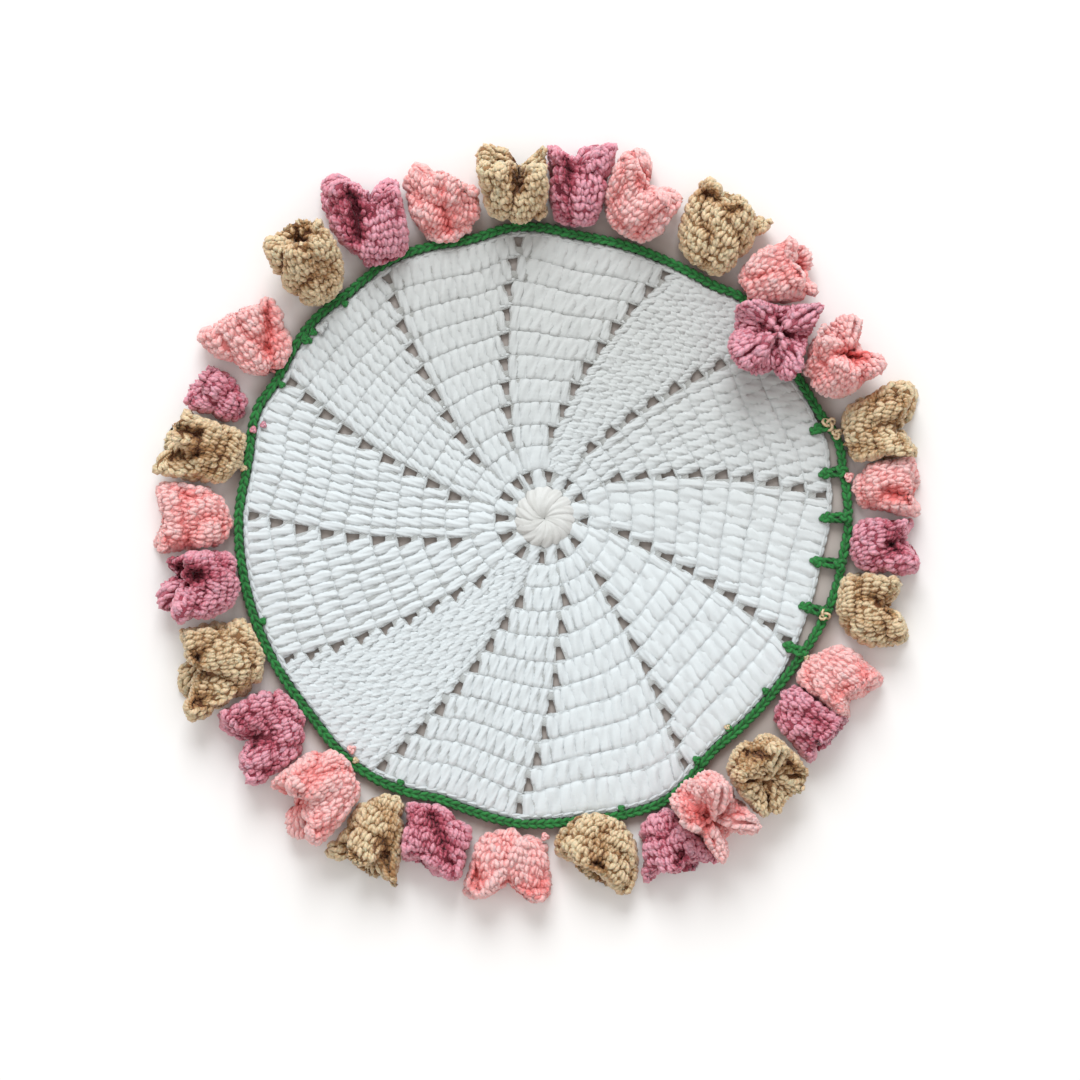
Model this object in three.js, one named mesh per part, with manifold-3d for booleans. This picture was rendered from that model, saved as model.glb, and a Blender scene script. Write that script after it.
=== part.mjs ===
// A crochet coaster: a round white mat worked in rows of double crochet, a green cord slip-stitched
// round its rim, and a ring of thirty-one small crocheted tulips, each tied to the cord by its foot.
// Millimetres, +Z up. The origin is the middle of the mat's first round, on the underside.

import * as THREE from 'three';
import { mergeVertices } from 'three/addons/utils/BufferGeometryUtils.js';
import Module from 'manifold-3d';

const wasm = await Module();
wasm.setup();

// Driving dimensions

const GAP = 0.3;
const MAT_THICKNESS = 2.4;
const MAT_EDGE_ROUNDING = 0.6;
const KNOB_RADIUS = 8.1;
const KNOB_RISE = 2.0;
const KNOB_STEPS = 24;
const RING_RADIUS = 90;
const ROUND_STEPS = 90;
const CORD_RADIUS = 1.6;
const CORD_SIDES = 8;
const OVER_CORD = 2 * CORD_RADIUS + GAP;
const TIE_RADIUS = 1.3;
const TIE_ROWS = 6;
const FLOWER_STEPS = 16;
const FLOWER_LOBES = 4;
const FLOWER_FOOT_HEIGHT = 3.0;
const FLOWER_MIDDLE = 0.55;
const TAPER_TO_FOOT = 1.5;
const NOTCH_DEPTH = 0.28;
const PRESS_DEPTH = 3.0;
const FLOOR_PRESS_DEPTH = 2.5;
const MERGE_WITHIN = 1e-4;

// The knob from its shoulder to its dimpled middle: share of its radius, and depth below its top.
const KNOB_PROFILE = [
  { share: 0.90, below: 0.6 },
  { share: 0.62, below: 0 },
  { share: 0.25, below: 0.2 },
  { share: 0, below: 0.7 },
];

// The rim was worked a little off the first round, so the ring has a centre of its own.
const RING_CENTRE = new THREE.Vector2(-1.2, -4.2);

// The cord's route: bearing in degrees from +X, and distance from the ring's centre to its middle.
const CORD_ROUTE = [
  [0, 92.0], [11, 92.1], [16, 92.6], [22, 90.1], [30, 89.0], [40, 90.4], [49, 91.0], [54, 88.7],
  [64, 87.9], [74, 87.8], [83, 87.8], [90, 89.4], [96, 89.8], [104, 88.4], [112, 90.2], [120, 91.5],
  [129, 90.6], [137, 91.7], [144, 91.3], [151, 90.4], [158, 91.9], [168, 89.8], [178, 90.6],
  [190, 90.4], [203, 90.0], [219, 89.3], [228, 90.6], [234, 90.8], [243, 89.4], [249, 87.4],
  [256, 87.9], [265, 89.4], [278, 89.0], [288, 90.2], [295, 90.2], [303, 86.6], [308, 84.8],
  [316, 85.0], [324, 85.6], [332, 86.8], [341, 89.0], [349, 90.5], [355, 91.0],
];

// On the right the mat stands off from the cord, and ties bridge the gap: bearing and width.
const STAND_OFF = [
  [0, 4.0], [5, 3.3], [12, 2.4], [19, 1.2], [24, 0], [180, 0], [327, 0], [333, 1.4], [339, 3.0],
  [349, 4.6], [356, 4.5],
];
const TIE_BEARINGS = [19.3, 10.4, 1.6, 352.7, 343, 334.1];

// A tulip from the pinched middle of its mouth, over the lip and down to its foot: how far along the
// tulip each round lies, and its share of the full width.
const TULIP_ROUNDS = [
  { along: 0.80, share: 0 },
  { along: 0.93, share: 0.50 },
  { along: 1.00, share: 0.92 },
  { along: 0.90, share: 1.00 },
  { along: 0.66, share: 0.90 },
  { along: 0.38, share: 0.76 },
  { along: 0.12, share: 0.50 },
  { along: 0, share: 0 },
];

// The tulips in turn, anticlockwise from the right: yarn; bearing of the tied foot; swing of the mouth
// from straight out; lift of the mouth off the table; roll about its own axis; length; width over the
// mouth; how far the mouth is pinched in between its four lobes; how flat it lies; and how far the
// foot lies over the cord, or stands off from it where this is below 0. Degrees and millimetres.
const TULIPS = [
  ['pink', 6.8, -5, 12, 20, 19, 20, 0.15, 0.72, 0],
  ['tan', 17.6, -16, 10, 45, 21, 33, 0.45, 0.56, -0.3],
  ['pink', 27.4, 22, 48, 22, 19, 24, 0.40, 0.84, -1],
  ['mauve', 39.2, 0, 84, -5, 13, 33, 0.55, 0.97, 2.4],
  ['pink', 50, -30, 25, 20, 22, 20, 0.22, 0.80, 0],
  ['tan', 59, -4, 10, 8, 24, 28, 0.28, 0.60, 0],
  ['pink', 77, -33, 24, 42, 20, 30, 0.45, 0.60, -0.3],
  ['mauve', 82.7, 10, 12, 58, 24, 29, 0.40, 0.62, 0],
  ['tan', 94, -4, 32, 45, 21, 30, 0.42, 0.72, 0],
  ['pink', 111.5, -42, 9, 5, 20, 26, 0.22, 0.58, 0],
  ['mauve', 123.5, -34, 14, 50, 25, 32, 0.50, 0.60, 0],
  ['tan', 134.2, -24, 34, 0, 24, 21, 0.12, 0.84, 0],
  ['pink', 151.5, -34, 10, 0, 20, 26, 0.05, 0.56, 0],
  ['mauve', 159.5, -14, 8, 20, 18, 15, 0.26, 0.80, -0.3],
  ['tan', 168, -13, 10, 8, 22, 29, 0.40, 0.60, 0],
  ['pink', 179, 1, 8, 45, 22, 26, 0.18, 0.58, 0],
  ['mauve', 190.5, -12, 32, 30, 22, 26, 0.38, 0.76, 0],
  ['tan', 205.5, -21, 12, 20, 24, 34, 0.46, 0.56, 0],
  ['mauve', 219, -17, 10, 45, 22, 31, 0.56, 0.54, 0],
  ['pink', 233.2, -27, 26, 30, 23, 29, 0.38, 0.70, 0],
  ['tan', 242.2, 1, 12, 10, 24, 26, 0.40, 0.62, 0],
  ['mauve', 250.3, 0, 10, 5, 19, 36, 0.22, 0.54, 0],
  ['pink', 265, -2, 8, 45, 20, 31, 0.46, 0.54, 0],
  ['tan', 285, -48, 10, 10, 18, 28, 0.14, 0.56, 0],
  ['mauve', 293.5, -8, 10, 5, 19, 25, 0.26, 0.62, 0],
  ['pink', 300.2, 6, 62, 55, 19, 30, 0.52, 0.92, -2],
  ['tan', 312.4, 0, 56, 45, 18, 25, 0.18, 0.92, -1.2],
  ['mauve', 325.2, -6, 8, 0, 20, 24, 0.08, 0.70, 0],
  ['pink', 333.2, -16, 16, 45, 20, 28, 0.32, 0.60, -0.2],
  ['tan', 344.6, 19, 9, 40, 19, 29, 0.36, 0.56, -0.3],
  ['mauve', 355, 18, 12, 45, 19, 23, 0.36, 0.66, 0],
].map(([yarn, bearing, swing, lift, roll, length, width, pinch, flatness, over]) => ({
  yarn, bearing, swing, lift, roll, length, width, pinch, flatness, over,
}));

// Finishes

const YARNS = {
  white: { color: 0xf1f4f5, roughness: 0.85 },
  green: { color: 0x1d6b2d, roughness: 0.75 },
  pink: { color: 0xf29c98, roughness: 0.62 },
  mauve: { color: 0xb65c7d, roughness: 0.62 },
  tan: { color: 0xb6935f, roughness: 0.55 },
};

function yarnMaterial(name) {
  return new THREE.MeshStandardMaterial({ ...YARNS[name], metalness: 0 });
}

// Closed meshes and solids

function closedMesh(geometry) {
  geometry.deleteAttribute('normal');
  geometry.deleteAttribute('uv');
  return mergeVertices(geometry, MERGE_WITHIN);
}

function solidOf(geometry) {
  const mesh = closedMesh(geometry);
  return new wasm.Manifold(new wasm.Mesh({
    numProp: 3,
    vertProperties: new Float32Array(mesh.attributes.position.array),
    triVerts: new Uint32Array(mesh.index.array),
  }));
}

function geometryOf(solid) {
  const mesh = solid.getMesh();
  const geometry = new THREE.BufferGeometry();
  geometry.setAttribute('position', new THREE.BufferAttribute(mesh.vertProperties, 3));
  geometry.setIndex(new THREE.BufferAttribute(mesh.triVerts, 1));
  geometry.computeVertexNormals();
  return geometry;
}

// Bearings round the ring

const radians = THREE.MathUtils.degToRad;

// A smooth value at any bearing, from a table of bearings and values that goes once round.
function around(table, bearing) {
  const turn = THREE.MathUtils.euclideanModulo(bearing, 360);
  const count = table.length;
  const row = (k) => {
    const [from, value] = table[THREE.MathUtils.euclideanModulo(k, count)];
    return { from: from + 360 * Math.floor(k / count), value };
  };
  const here = table.findLastIndex(([from]) => from <= turn);
  const [before, start, end, after] = [row(here - 1), row(here), row(here + 1), row(here + 2)];
  const step = end.from - start.from;
  const leaving = step * (end.value - before.value) / (end.from - before.from);
  const arriving = step * (after.value - start.value) / (after.from - start.from);
  const s = (turn - start.from) / step;
  return start.value * (1 + 2 * s) * (1 - s) ** 2 + leaving * s * (1 - s) ** 2
    + end.value * s * s * (3 - 2 * s) + arriving * s * s * (s - 1);
}

function cordRadiusAt(bearing) {
  return around(CORD_ROUTE, bearing);
}

function standOffAt(bearing) {
  return Math.max(0, around(STAND_OFF, bearing));
}

function matRadiusAt(bearing) {
  return cordRadiusAt(bearing) - CORD_RADIUS - GAP - standOffAt(bearing);
}

function onRing(bearing, radius, z = 0) {
  const angle = radians(bearing);
  return new THREE.Vector3(
    RING_CENTRE.x + radius * Math.cos(angle),
    RING_CENTRE.y + radius * Math.sin(angle),
    z,
  );
}

function bearingOf(point) {
  return THREE.MathUtils.radToDeg(Math.atan2(point.y - RING_CENTRE.y, point.x - RING_CENTRE.x));
}

// The white mat: one flat piece with a softly rounded rim, and the puffed knob of its first round

function matGeometry() {
  const outline = new THREE.Shape();
  for (let k = 0; k < ROUND_STEPS; k += 1) {
    const bearing = 360 * k / ROUND_STEPS;
    const point = onRing(bearing, matRadiusAt(bearing) - MAT_EDGE_ROUNDING);
    if (k === 0) {
      outline.moveTo(point.x, point.y);
    } else {
      outline.lineTo(point.x, point.y);
    }
  }
  outline.closePath();
  const disc = new THREE.ExtrudeGeometry(outline, {
    depth: MAT_THICKNESS - 2 * MAT_EDGE_ROUNDING,
    bevelThickness: MAT_EDGE_ROUNDING,
    bevelSize: MAT_EDGE_ROUNDING,
    bevelSegments: 1,
  });
  disc.translate(0, 0, MAT_EDGE_ROUNDING);

  const rootZ = MAT_THICKNESS / 2;
  const topZ = MAT_THICKNESS + KNOB_RISE;
  const profile = [
    new THREE.Vector2(0, rootZ),
    new THREE.Vector2(KNOB_RADIUS, rootZ),
    new THREE.Vector2(KNOB_RADIUS, MAT_THICKNESS),
    ...KNOB_PROFILE.map(({ share, below }) => new THREE.Vector2(share * KNOB_RADIUS, topZ - below)),
  ];
  const knob = new THREE.LatheGeometry(profile, KNOB_STEPS);
  knob.rotateX(Math.PI / 2);
  return geometryOf(solidOf(disc).add(solidOf(knob)));
}

// The green edging: a ring laid along its route, with the ties that reach in to the mat

function cordRing(radius) {
  const ring = new THREE.TorusGeometry(RING_RADIUS, radius, CORD_SIDES, ROUND_STEPS);
  const position = ring.attributes.position;
  for (let k = 0; k < position.count; k += 1) {
    const turn = Math.atan2(position.getY(k), position.getX(k));
    const bearing = THREE.MathUtils.radToDeg(turn);
    const beyondMiddle = Math.hypot(position.getX(k), position.getY(k)) - RING_RADIUS;
    const point = onRing(bearing, cordRadiusAt(bearing) + beyondMiddle, position.getZ(k) + CORD_RADIUS);
    position.setXYZ(k, point.x, point.y, point.z);
  }
  return ring;
}

function tie(bearing) {
  const reach = CORD_RADIUS + standOffAt(bearing);
  const loop = new THREE.SphereGeometry(1, CORD_SIDES, TIE_ROWS);
  loop.scale(reach / 2, TIE_RADIUS, TIE_RADIUS);
  loop.rotateZ(radians(bearing));
  const middle = onRing(bearing, cordRadiusAt(bearing) - reach / 2, CORD_RADIUS);
  loop.translate(middle.x, middle.y, middle.z);
  return loop;
}

function edgingGeometry() {
  const edging = TIE_BEARINGS.reduce(
    (cord, bearing) => cord.add(solidOf(tie(bearing))),
    solidOf(cordRing(CORD_RADIUS)),
  );
  return geometryOf(edging);
}

// Tulips

// Where a tulip's foot sits and which way it faces: along its axis, across it, and up out of it.
function stanceOf(tulip) {
  const heading = radians(tulip.bearing + tulip.swing);
  const lift = radians(tulip.lift);
  const axis = new THREE.Vector3(
    Math.cos(heading) * Math.cos(lift),
    Math.sin(heading) * Math.cos(lift),
    Math.sin(lift),
  );
  const across = new THREE.Vector3(-Math.sin(heading), Math.cos(heading), 0);
  const up = new THREE.Vector3().crossVectors(axis, across);
  const footRadius = cordRadiusAt(tulip.bearing) + CORD_RADIUS + GAP - tulip.over;
  const footHeight = FLOWER_FOOT_HEIGHT + (tulip.over > 0 ? OVER_CORD : 0);
  const foot = onRing(tulip.bearing, footRadius, footHeight);
  const middle = foot.clone().addScaledVector(axis, FLOWER_MIDDLE * tulip.length);
  return { axis, across, up, foot, middle };
}

// A point of a tulip before its neighbours and the table press on it.
function petalPoint(tulip, stance, round, turn) {
  const between = 0.5 - 0.5 * Math.cos(FLOWER_LOBES * (turn - radians(tulip.roll)));
  const folded = between * round.along ** TAPER_TO_FOOT;
  const radius = 0.5 * tulip.width * round.share * (1 - tulip.pinch * folded);
  const along = tulip.length * (round.along - NOTCH_DEPTH * tulip.pinch * folded * round.share);
  return stance.foot.clone()
    .addScaledVector(stance.axis, along)
    .addScaledVector(stance.across, radius * Math.cos(turn))
    .addScaledVector(stance.up, radius * Math.sin(turn) * tulip.flatness);
}

// Soft yarn gives way before it reaches a face: a distance is eased so that it never falls below least.
function pressed(distance, least, depth) {
  if (distance >= depth) {
    return distance;
  }
  const room = depth - least;
  return least + room * Math.exp((distance - depth) / room);
}

// Each tulip stays on its own side of an upright face halfway between it and the next.
function pressAgainst(point, own, other) {
  const away = new THREE.Vector3().subVectors(own.middle, other.middle).setZ(0).normalize();
  const halfway = new THREE.Vector3().addVectors(own.middle, other.middle).multiplyScalar(0.5);
  const distance = point.clone().sub(halfway).dot(away);
  return point.addScaledVector(away, pressed(distance, GAP / 2, PRESS_DEPTH) - distance);
}

// How far a point lies outside the cord and its gap.
function outsideCord(point) {
  const radius = Math.hypot(point.x - RING_CENTRE.x, point.y - RING_CENTRE.y);
  return radius - cordRadiusAt(bearingOf(point)) - CORD_RADIUS - GAP;
}

// What a point of a tulip comes down to: the table, or the cord for a tulip that lies over it.
function restUnder(tulip, point) {
  return tulip.over > 0 && outsideCord(point) < 0 ? OVER_CORD : 0;
}

// A point that would reach into the cord is lifted over it or moved out beyond it, whichever is less.
function clearOfCord(point) {
  const outside = outsideCord(point);
  const above = point.z - OVER_CORD;
  if (outside >= 0 || above >= 0) {
    return point;
  }
  if (above > outside) {
    return point.setZ(OVER_CORD);
  }
  const bearing = bearingOf(point);
  return onRing(bearing, cordRadiusAt(bearing) + CORD_RADIUS + GAP, point.z);
}

function tulipGeometry(tulip, before, after) {
  const own = stanceOf(tulip);
  const neighbours = [stanceOf(before), stanceOf(after)];
  const tulipRows = TULIP_ROUNDS.length - 1;
  const cup = new THREE.SphereGeometry(1, FLOWER_STEPS, tulipRows);
  const { position, uv } = cup.attributes;
  const points = [];
  for (let k = 0; k < position.count; k += 1) {
    const round = TULIP_ROUNDS[Math.round((1 - uv.getY(k)) * tulipRows)];
    const step = Math.round(uv.getX(k) * FLOWER_STEPS) % FLOWER_STEPS;
    const turn = radians(tulip.roll) + 2 * Math.PI * step / FLOWER_STEPS;
    const point = petalPoint(tulip, own, round, turn);
    const rest = restUnder(tulip, point);
    point.z = pressed(point.z, rest, rest + FLOOR_PRESS_DEPTH);
    points.push(point);
  }
  const lowest = Math.min(...points.map((point) => point.z - restUnder(tulip, point)));
  points.forEach((point, k) => {
    point.z -= lowest;
    neighbours.forEach((other) => pressAgainst(point, own, other));
    position.setXYZ(k, ...clearOfCord(point).toArray());
  });
  return cup;
}

// The coaster

function piece(name, geometry, yarn) {
  const mesh = new THREE.Mesh(geometry, yarnMaterial(yarn));
  mesh.name = name;
  return mesh;
}

const coaster = new THREE.Group();
coaster.add(piece('mat', matGeometry(), 'white'));
coaster.add(piece('edging', edgingGeometry(), 'green'));

const flowers = new THREE.Group();
const roundTheCord = solidOf(cordRing(CORD_RADIUS + GAP));
TULIPS.forEach((tulip, k) => {
  const before = TULIPS.at(k - 1);
  const after = TULIPS[(k + 1) % TULIPS.length];
  const cup = solidOf(tulipGeometry(tulip, before, after)).subtract(roundTheCord);
  const name = `flower_${String(k + 1).padStart(2, '0')}`;
  flowers.add(piece(name, geometryOf(cup), tulip.yarn));
});
coaster.add(flowers);

export default coaster;
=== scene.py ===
import math
import bpy
import numpy as np
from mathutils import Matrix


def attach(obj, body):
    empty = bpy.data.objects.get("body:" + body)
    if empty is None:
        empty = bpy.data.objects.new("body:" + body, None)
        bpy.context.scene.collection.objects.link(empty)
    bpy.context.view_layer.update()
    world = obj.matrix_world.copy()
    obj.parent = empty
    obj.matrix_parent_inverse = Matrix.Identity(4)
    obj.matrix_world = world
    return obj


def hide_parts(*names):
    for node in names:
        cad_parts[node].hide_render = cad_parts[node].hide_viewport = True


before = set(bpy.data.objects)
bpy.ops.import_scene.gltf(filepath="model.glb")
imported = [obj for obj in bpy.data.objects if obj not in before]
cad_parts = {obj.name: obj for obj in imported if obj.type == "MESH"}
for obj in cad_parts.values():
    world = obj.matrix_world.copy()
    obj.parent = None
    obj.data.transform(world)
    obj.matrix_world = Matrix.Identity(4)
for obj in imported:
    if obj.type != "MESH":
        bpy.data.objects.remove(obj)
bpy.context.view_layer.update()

# The plan of the coaster: a green cord laid round a white mat that was worked a little off its middle.
# The cord's route and the mat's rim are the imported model's own, in millimetres and degrees.
CORD_RADIUS = 1.6
GAP = 0.3
RING_CENTRE = np.array([-1.2, -4.2])
CORD_ROUTE = [  # bearing, and the cord's distance from the ring's centre
    (0, 92.0), (11, 92.1), (16, 92.6), (22, 90.1), (30, 89.0), (40, 90.4), (49, 91.0), (54, 88.7),
    (64, 87.9), (74, 87.8), (83, 87.8), (90, 89.4), (96, 89.8), (104, 88.4), (112, 90.2), (120, 91.5),
    (129, 90.6), (137, 91.7), (144, 91.3), (151, 90.4), (158, 91.9), (168, 89.8), (178, 90.6),
    (190, 90.4), (203, 90.0), (219, 89.3), (228, 90.6), (234, 90.8), (243, 89.4), (249, 87.4),
    (256, 87.9), (265, 89.4), (278, 89.0), (288, 90.2), (295, 90.2), (303, 86.6), (308, 84.8),
    (316, 85.0), (324, 85.6), (332, 86.8), (341, 89.0), (349, 90.5), (355, 91.0),
]
STAND_OFF = [  # bearing, and how far the rim of the mat stands off from the cord beyond the gap
    (0, 4.0), (5, 3.3), (12, 2.4), (19, 1.2), (24, 0), (180, 0), (327, 0), (333, 1.4), (339, 3.0),
    (349, 4.6), (356, 4.5),
]


def around(table, bearing):
    """The value of a table at a bearing, on a smooth closed curve through its rows."""
    starts, values = np.array(table, float).T
    starts, values = np.concatenate([starts - 360, starts, starts + 360]), np.tile(values, 3)
    turn = np.mod(bearing, 360.0)
    here = np.searchsorted(starts, turn, side="right") - 1
    (f0, v0), (f1, v1), (f2, v2), (f3, v3) = ((starts[here + k], values[here + k]) for k in (-1, 0, 1, 2))
    step = f2 - f1
    leaving = step * (v2 - v0) / (f2 - f0)
    arriving = step * (v3 - v1) / (f3 - f1)
    s = (turn - f1) / step
    return (v1 * (1 + 2 * s) * (1 - s) ** 2 + leaving * s * (1 - s) ** 2
            + v2 * s * s * (3 - 2 * s) + arriving * s * s * (s - 1))


def cord_radius_at(bearing):
    return around(CORD_ROUTE, bearing)


def mat_radius_at(bearing):
    return cord_radius_at(bearing) - CORD_RADIUS - GAP - np.maximum(0, around(STAND_OFF, bearing))


def heading_of(bearing):
    angle = np.radians(bearing)
    return np.stack([np.cos(angle), np.sin(angle)], axis=-1)


def direction(bearing, lift):
    """The way that runs out at a bearing and rises by lift, both in degrees."""
    return np.append(heading_of(bearing) * math.cos(math.radians(lift)), math.sin(math.radians(lift)))


def on_plan(bearing, radius):
    """The point of the table at a bearing and a distance from the ring's centre."""
    return RING_CENTRE + heading_of(bearing) * np.asarray(radius)[..., None]


def raised(plan, height):
    """Points of the table, lifted to a height."""
    return np.concatenate([plan, np.broadcast_to(height, plan.shape[:-1])[..., None]], axis=-1)


# The rounds of the mat. The first four spread from the knob, the rest swing over to the rim's centre.
# From the fourth on, twelve arms of eyelets part a round into twelve straight-sided fields.
LAST_ROUND = 12
FIRST_WITH_FIELDS = 4
FIRST_ROUNDS = {"round": [1, 2, 3, 4], "x": [-0.1, -1.0, -1.65, -1.85], "y": [-1.4, -1.6, -1.4, -1.8],
                "radius": [8.0, 14.5, 21.4, 28.3]}
ARMS = [  # bearing of each arm's eyelet in the fourth round, and in the twelfth
    (114.7, 95.5), (84.4, 63.1), (54.6, 37.0), (25.0, 3.6), (-15.3, -27.9), (-50.7, -61.0),
    (-77.4, -95.0), (-105.9, -122.5), (-133.1, -150.1), (-161.6, -179.2), (-189.5, -207.1),
    (-217.1, -236.0),
]
ARM_BEND = 0.7
ARM_LEAD = 0.3  # an edge follows the arms as they stand this part of a round further out
STITCHES_IN_FIELD = {3: 3, 4: 4, 5: 5, 6: 6, 7: 8, 8: 9, 9: 10, 10: 11, 11: 12, 12: 13}
EYELET_HALF_WIDTH = 1.5
EYELET_FLARE = 0.8
EYELET_MARGIN = 0.12
FIRST_HOLES = [  # bearings of the small holes round the knob, which lie in the second round
    110.5, 82.0, 53.5, 27.0, -6.0, -38.0, -64.5, -92.5, -122.0, -152.5, -178.5, -208.0, -232.0,
]
FIRST_HOLE_HALF_WIDTH = 1.45
STRAIGHTNESS = {"round": [3, 5, 7, 11, 12], "share": [0, 0.6, 1.0, 0.9, 0.15]}
STRAIGHT_OUTSET = 0.0115  # a straight side is set out by this share, so that its round stays as large


def round_centre(k):
    rounds = FIRST_ROUNDS["round"] + [LAST_ROUND]
    return np.stack([np.interp(k, rounds, FIRST_ROUNDS["x"] + [RING_CENTRE[0]]),
                     np.interp(k, rounds, FIRST_ROUNDS["y"] + [RING_CENTRE[1]])], axis=-1)


def share_of_fields(k):
    """How far round k lies from the first round with fields, at 0, to the last, at 1."""
    return np.clip((k - FIRST_WITH_FIELDS) / (LAST_ROUND - FIRST_WITH_FIELDS), 0, 1)


def plain_radius(k, bearing):
    inner = np.interp(k, FIRST_ROUNDS["round"], FIRST_ROUNDS["radius"])
    return inner + share_of_fields(k) * (mat_radius_at(bearing) - inner)


def arm_bearings(k):
    first, last = np.array(ARMS).T
    seen = first + (last - first) * share_of_fields(k) ** ARM_BEND
    points = heading_of(seen) * plain_radius(k, seen)[:, None] - round_centre(k)
    return np.degrees(np.unwrap(np.arctan2(points[:, 1], points[:, 0])))


def round_edge(k, bearing):
    """Points on the outer edge of round k, which may be any part of a round: straight between two arms."""
    k, bearing = np.broadcast_arrays(np.asarray(k, float), np.asarray(bearing, float))
    arms = arm_bearings(min(float(np.max(k)) + ARM_LEAD, LAST_ROUND))
    from_first = np.mod(arms[0] - bearing, 360.0)
    bounds_ = np.append(arms[0] - arms, 360.0)
    field = np.clip(np.searchsorted(bounds_, from_first, side="right") - 1, 0, len(arms) - 1)
    middle = 0.5 * (bounds_[field] + bounds_[field + 1])
    half = 0.5 * (bounds_[field + 1] - bounds_[field])
    off = np.radians(from_first - middle)
    flat = np.cos(np.radians(half)) / np.cos(off)
    share = np.interp(k, STRAIGHTNESS["round"], STRAIGHTNESS["share"])
    evened = 1 + share * (flat - 1 + STRAIGHT_OUTSET)
    return round_centre(k) + heading_of(bearing) * (plain_radius(k, bearing) * evened)[..., None]


def round_fields(k):
    """Bearings of the arms in round k, the stitches between two of them, and half the eyelet's width."""
    if k == 2:
        return np.array(FIRST_HOLES), 1, FIRST_HOLE_HALF_WIDTH
    if k < FIRST_WITH_FIELDS:
        return arm_bearings(FIRST_WITH_FIELDS), STITCHES_IN_FIELD[k], 0.0
    return arm_bearings(k), STITCHES_IN_FIELD[k], EYELET_HALF_WIDTH


def stitch_bounds(k, share_up):
    """Bearings between the stitches of round k (field, stitch), at a share of the stitches' height."""
    arms, count, half_width = round_fields(k)
    radius = float(np.mean(plain_radius(k, arms)))
    half = np.degrees(half_width / radius) * share_up ** EYELET_FLARE + np.degrees(EYELET_MARGIN / radius)
    after = np.append(arms[1:], arms[0] - 360.0)
    steps = np.linspace(0, 1, count + 1)
    return (arms - half)[:, None] * (1 - steps) + (after + half)[:, None] * steps


# The ground of the mat is one thin sheet of white cotton in painted shade, open at every eyelet: it stands
# for the body of the stitches that shows between the posts. It lies loose on the table and carries the rest
# of the mat.
MM = 0.001
LEAST_HEIGHT = 0.02
GROUND_LOWER, GROUND_UPPER = 0.65, 1.75
MID_HEIGHT = 1.2
ROUND_SHARES = [0.0, 0.38, 0.93, 1.0]  # of a round's height: an eyelet is open between the middle two
HUB_STEPS = 24
HUB_SHARES = [0.02, 0.5, 1.0]  # of the first round's radius


def quads_of(shape):
    """Quads of a net of points shaped (..., ring, place), where each ring closes on itself."""
    net = np.arange(np.prod(shape)).reshape(shape)
    after = np.roll(net, -1, axis=-1)
    return np.stack([net[..., :-1, :], net[..., 1:, :], after[..., 1:, :], after[..., :-1, :]], axis=-1)


def ground_of_round(k):
    """Plan and quads of the sheet of round k, without its eyelets."""
    _, count, eyelet_half_width = round_fields(k)
    plan = np.stack([round_edge(k - 1 + share, stitch_bounds(k, share).ravel()) for share in ROUND_SHARES])
    quads = quads_of(plan.shape[:2])
    worked = np.ones(quads.shape[:2], bool)
    if eyelet_half_width > 0:
        worked[1] = np.arange(plan.shape[1]) % (count + 1) != count
    return plan.reshape(-1, 2), quads[worked]


def thickened(plan, quads, lower, upper):
    """Gives a flat net of quads a lower face, and walls along its open edges."""
    count = len(plan)
    edges = np.concatenate([quads[:, [c, (c + 1) % 4]] for c in range(4)])
    known = {tuple(edge) for edge in edges.tolist()}
    rim = np.array([edge for edge in edges.tolist() if (edge[1], edge[0]) not in known])
    walls = np.stack([rim[:, 1], rim[:, 0], rim[:, 0] + count, rim[:, 1] + count], axis=1)
    faces = np.concatenate([quads, quads[:, ::-1] + count, walls])
    return np.concatenate([raised(plan, upper), raised(plan, lower)]), faces


def triangles_of(quads):
    return np.concatenate([quads[:, [0, 1, 2]], quads[:, [0, 2, 3]]])


def unit(vectors):
    return vectors / (np.linalg.norm(vectors, axis=-1, keepdims=True) + 1e-9)


chance = np.random.default_rng(31)


def jitter(spread, shape=None):
    """Random amounts to either side of zero, spread wide."""
    return spread * (chance.random(shape) - 0.5)


def put_in_scene(name, data):
    placed = bpy.data.objects.new(name, data)
    bpy.context.scene.collection.objects.link(placed)
    return placed


def make_piece(name, bundles, material):
    """Joins bundles of points, triangles, strand coordinates, painted light and shade, and tone into one
    mesh, in metres.
    """
    points = np.concatenate([b["points"] for b in bundles])
    points[:, 2] = np.maximum(points[:, 2], LEAST_HEIGHT)
    offsets = np.cumsum([0] + [len(b["points"]) for b in bundles[:-1]])
    faces = np.concatenate([b["faces"] + o for b, o in zip(bundles, offsets)])
    mesh = bpy.data.meshes.new(name)
    mesh.vertices.add(len(points))
    mesh.vertices.foreach_set("co", (points * MM).astype(np.float32).ravel())
    mesh.loops.add(faces.size)
    mesh.loops.foreach_set("vertex_index", faces.astype(np.int32).ravel())
    mesh.polygons.add(len(faces))
    mesh.polygons.foreach_set("loop_start", np.arange(0, faces.size, 3, dtype=np.int32))
    mesh.update(calc_edges=True)
    mesh.shade_smooth()
    strand_uv = np.concatenate([b["uv"] for b in bundles]).astype(np.float32)
    mesh.uv_layers.new(name="strand").data.foreach_set("uv", strand_uv.ravel())
    for key in ("light_and_shade", "tone"):
        values = np.concatenate([b[key] for b in bundles]).astype(np.float32)
        mesh.attributes.new(key, "FLOAT", "POINT").data.foreach_set("value", values)
    mesh.validate()
    piece = put_in_scene(name, mesh)
    mesh.materials.append(material)
    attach(piece, "root")
    return piece


def plain_bundle(points, quads, light_and_shade):
    faces = triangles_of(quads)
    return {
        "points": points, "faces": faces, "uv": points[faces.ravel()][:, :2],
        "light_and_shade": np.broadcast_to(light_and_shade, len(points)), "tone": np.full(len(points), 0.5),
    }


LAY_PAINTED_SHADE = 1.6  # how much painted shade darkens the furrows between wound strands against their backs
UP = [0.0, 0.0, 1.0]


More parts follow.
